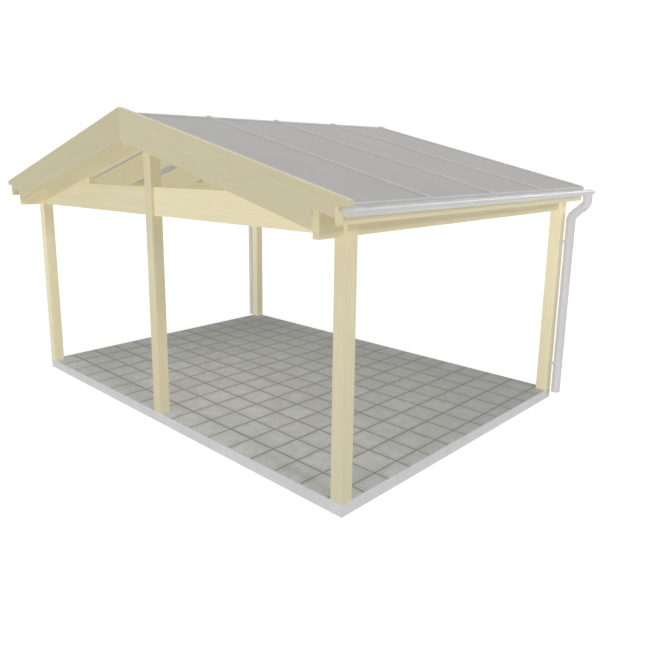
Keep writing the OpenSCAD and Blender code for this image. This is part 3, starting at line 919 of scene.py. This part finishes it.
CLIP_Z = (TILE_HI.z + 0.315, BEND_LOW - 0.235)          # one near the foot, one under the bend
LUG = rounded([(-0.0045, -0.012), (0.0045, -0.012), (0.0045, 0.012), (-0.0045, 0.012)], r=0.002)
LUG_FROM, LUG_TO = PIPE_R + 0.0026, PIPE_R + 0.0110     # from the pipe's middle
LUG_FACE = 0.0045           # its outer face from the pipe's middle
PLATE_OUT = 0.003           # face of a clip's plate, out from the post
PLATE_SCREW_Y, PLATE_SCREW_Z = 0.017, 0.009
BOTH = (-1, 1)


def swing_point(side, along, z):
    """A point in the upright plane of the swan neck, `along` from the straight pipe outwards."""
    x = PIPE_X + along * math.cos(TURN)
    return Vector((side * x, PIPE_Y + along * math.sin(TURN), z))


def socket(bm, at, way):
    """A sleeve about the pipe with a rolled mouth, its middle at `at`."""
    profile = [(r, t - SOCKET_L / 2) for r, t in SOCKET]
    turned(bm, at, way, profile, SOCKET_SIDES, closed=True)
    # its last ring lies on its first
    bmesh.ops.remove_doubles(bm, verts=bm.verts, dist=1e-6)


for name, side in SIDES:
    bm = bmesh.new()
    socket(bm, swing_point(side, 0, BEND_LOW - SOCKET_BELOW), Vector((0, 0, 1)))
    slope = swing_point(side, math.sin(BEND_A), math.cos(BEND_A)) - swing_point(side, 0, 0)
    slope.normalize()
    run_foot = swing_point(side, BEND_OUT, BEND_LOW + BEND_DOWN)
    socket(bm, run_foot + slope * SOCKET_ALONG, slope)
    socket(bm, run_foot + slope * (RUN - SOCKET_ALONG), -slope)
    piece(name + "_pipe_sockets", bm, "metal", "metal", smooth=35)
    # each clip has a lug with a bolt either side of the pipe, and four screws in its plate
    lugs, screws = bmesh.new(), bmesh.new()
    out = Vector((side, 0, 0))
    for z in CLIP_Z:
        for s in BOTH:
            y0, y1 = PIPE_Y + s * LUG_FROM, PIPE_Y + s * LUG_TO
            loft(lugs, [[(side * PIPE_X + u, y, z + v) for u, v in LUG] for y in (y0, y1)])
            at = Vector((side * (PIPE_X + LUG_FACE), (y0 + y1) / 2, z))
            screw(screws, at, out, LUG_BOLT)
        for up in BOTH:
            for s in BOTH:
                at = Vector((side * (POST_HI.x + PLATE_OUT), PIPE_Y + s * PLATE_SCREW_Y,
                             z + up * PLATE_SCREW_Z))
                screw(screws, at, out, PLATE_SCREW)
    piece(name + "_clip_lugs", lugs, "metal", "metal", smooth=30)
    piece(name + "_clip_screws", screws, "metal", "metal", smooth=40)


# ---------------------------------------------------------------- stage and light

FLOOR_HALF = 60
FLOOR_DOWN = 0.0005         # under the slab, so that their faces don't fall together
FLOOR_LIT = 0.55            # the floor's grey for the light that it sends back to the object
FLOOR_SEEN = 0.42           # its grey for the camera, where it also glows
FLOOR_GLOW = 0.72
SKY_LIT = 0.26              # the world's strength as a lamp
SKY_SEEN = 1.0              # and as the white ground
WHITE = (1, 1, 1, 1)

floor_mesh = bpy.data.meshes.new("stage_floor")
bm = bmesh.new()
bmesh.ops.create_grid(bm, x_segments=1, y_segments=1, size=FLOOR_HALF)
bm.to_mesh(floor_mesh)
bm.free()
stage_floor = bpy.data.objects.new("stage_floor", floor_mesh)
stage_floor.location = (0, 0, -FLOOR_DOWN)
scene.collection.objects.link(stage_floor)

stage_white = bpy.data.materials.new("stage_white")
m = Tree(stage_white)
lit = m.node("BsdfDiffuse", {0: (FLOOR_LIT, FLOOR_LIT, FLOOR_LIT, 1)})
seen = m.node("BsdfDiffuse", {0: (FLOOR_SEEN, FLOOR_SEEN, FLOOR_SEEN, 1)})
glow = m.node("Emission", {"Color": WHITE, "Strength": FLOOR_GLOW})
both = m.node("AddShader", {0: seen.outputs[0], 1: glow.outputs[0]})
chosen = m.node("MixShader", {0: m.seen_directly(), 1: lit.outputs[0], 2: both.outputs[0]})
m.node("OutputMaterial", {0: chosen.outputs[0]})
floor_mesh.materials.append(stage_white)

scene.world = bpy.data.worlds.new("studio")
w = Tree(scene.world)
level = w.node("MapRange", {"Value": w.seen_directly(), "To Min": SKY_LIT, "To Max": SKY_SEEN})
sky = w.node("Background", {"Color": WHITE, "Strength": level.outputs[0]})
w.node("OutputWorld", {0: sky.outputs[0]})

# name, the way to the lamp, strength, spread in degrees, whether it casts a shadow
LAMPS = (
    ("key", (0.90, -0.12, 0.42), 0.85, 12, True),
    ("top", (0.2, -0.3, 0.93), 0.6, 60, True),
    ("fill_front", (0.0, -1.0, -0.1), 1.5, 40, False),
    ("fill_right", (1.0, 0.0, -0.1), 0.45, 40, False),
    ("fill_above", (0.0, 0.0, 1.0), 0.6, 40, False),
    ("fill_below", (0.0, 0.0, -1.0), 1.3, 40, False),
    ("fill_left", (-1.0, 0.2, 0.0), 0.8, 40, False),
    ("fill_back", (0.42, 0.894, 0.15), 0.75, 10, False),
)
for name, towards, strength, spread, shadow in LAMPS:
    lamp = bpy.data.lights.new(name, "SUN")
    lamp.energy = strength
    lamp.angle = math.radians(spread)
    lamp.use_shadow = shadow
    o = bpy.data.objects.new(name, lamp)
    o.rotation_euler = Vector(towards).to_track_quat("Z", "Y").to_euler()
    scene.collection.objects.link(o)
